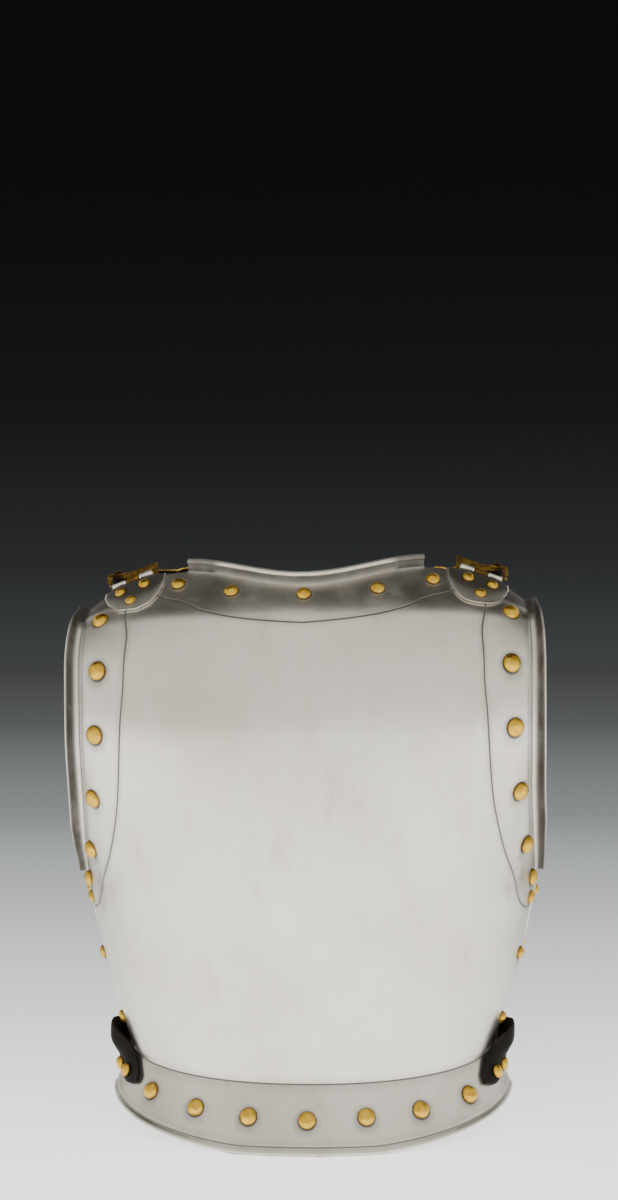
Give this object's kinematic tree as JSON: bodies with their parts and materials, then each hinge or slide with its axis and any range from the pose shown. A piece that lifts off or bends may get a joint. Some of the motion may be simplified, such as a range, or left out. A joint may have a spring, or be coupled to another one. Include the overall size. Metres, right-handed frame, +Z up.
{
  "type": "cuirass",
  "caption": "Polished steel cuirass: back and breast plates edged with brass rivets, joined by hinged shoulder straps and a buckled leather waist belt.",
  "frame": {"origin": "on the standing surface, under the middle of the whole object", "axes": "+Z up from the waist rim to the neck, +Y out of the breastplate, +X towards the wearer's right, so the backplate faces -Y"},
  "size_m": [0.3812, 0.2888, 0.4713],
  "materials": {
    "polished_steel": "satin",
    "rivet_brass": "satin",
    "dark_leather": "satin"
  },
  "bodies": {
    "root": {"breastplate": "polished_steel", "backplate": "polished_steel", "neck_rivet_1": "rivet_brass", "neck_rivet_2": "rivet_brass", "neck_rivet_3": "rivet_brass", "neck_rivet_4": "rivet_brass", "neck_rivet_5": "rivet_brass", "skirt_rivet_1": "rivet_brass", "skirt_rivet_2": "rivet_brass", "skirt_rivet_3": "rivet_brass", "skirt_rivet_4": "rivet_brass", "skirt_rivet_5": "rivet_brass", "skirt_rivet_6": "rivet_brass", "skirt_rivet_7": "rivet_brass", "left_armhole_rivet_1": "rivet_brass", "left_armhole_rivet_2": "rivet_brass", "left_armhole_rivet_3": "rivet_brass", "left_armhole_rivet_4": "rivet_brass", "left_armhole_rivet_5": "rivet_brass", "left_armhole_rivet_6": "rivet_brass", "left_side_rivet_1": "rivet_brass", "left_side_rivet_2": "rivet_brass", "left_side_rivet_3": "rivet_brass", "right_armhole_rivet_1": "rivet_brass", "right_armhole_rivet_2": "rivet_brass", "right_armhole_rivet_3": "rivet_brass", "right_armhole_rivet_4": "rivet_brass", "right_armhole_rivet_5": "rivet_brass", "right_armhole_rivet_6": "rivet_brass", "right_side_rivet_1": "rivet_brass", "right_side_rivet_2": "rivet_brass", "right_side_rivet_3": "rivet_brass", "left_shoulder_plate": "polished_steel", "left_hinge_pin": "rivet_brass", "left_strap_hinge": "rivet_brass", "left_shoulder_strap": "dark_leather", "left_strap_scales": "rivet_brass", "left_strap_end_plate": "rivet_brass", "left_strap_stud": "rivet_brass", "right_shoulder_plate": "polished_steel", "right_hinge_pin": "rivet_brass", "right_strap_hinge": "rivet_brass", "right_shoulder_strap": "dark_leather", "right_strap_scales": "rivet_brass", "right_strap_end_plate": "rivet_brass", "right_strap_stud": "rivet_brass", "right_belt_strap": "dark_leather", "buckle_frame": "rivet_brass", "buckle_prong": "rivet_brass", "left_belt_strap": "dark_leather", "belt_keeper": "dark_leather", "left_belt_rivet_1": "rivet_brass", "left_belt_rivet_2": "rivet_brass", "right_belt_rivet_1": "rivet_brass", "right_belt_rivet_2": "rivet_brass"}
  },
  "joints": []
}
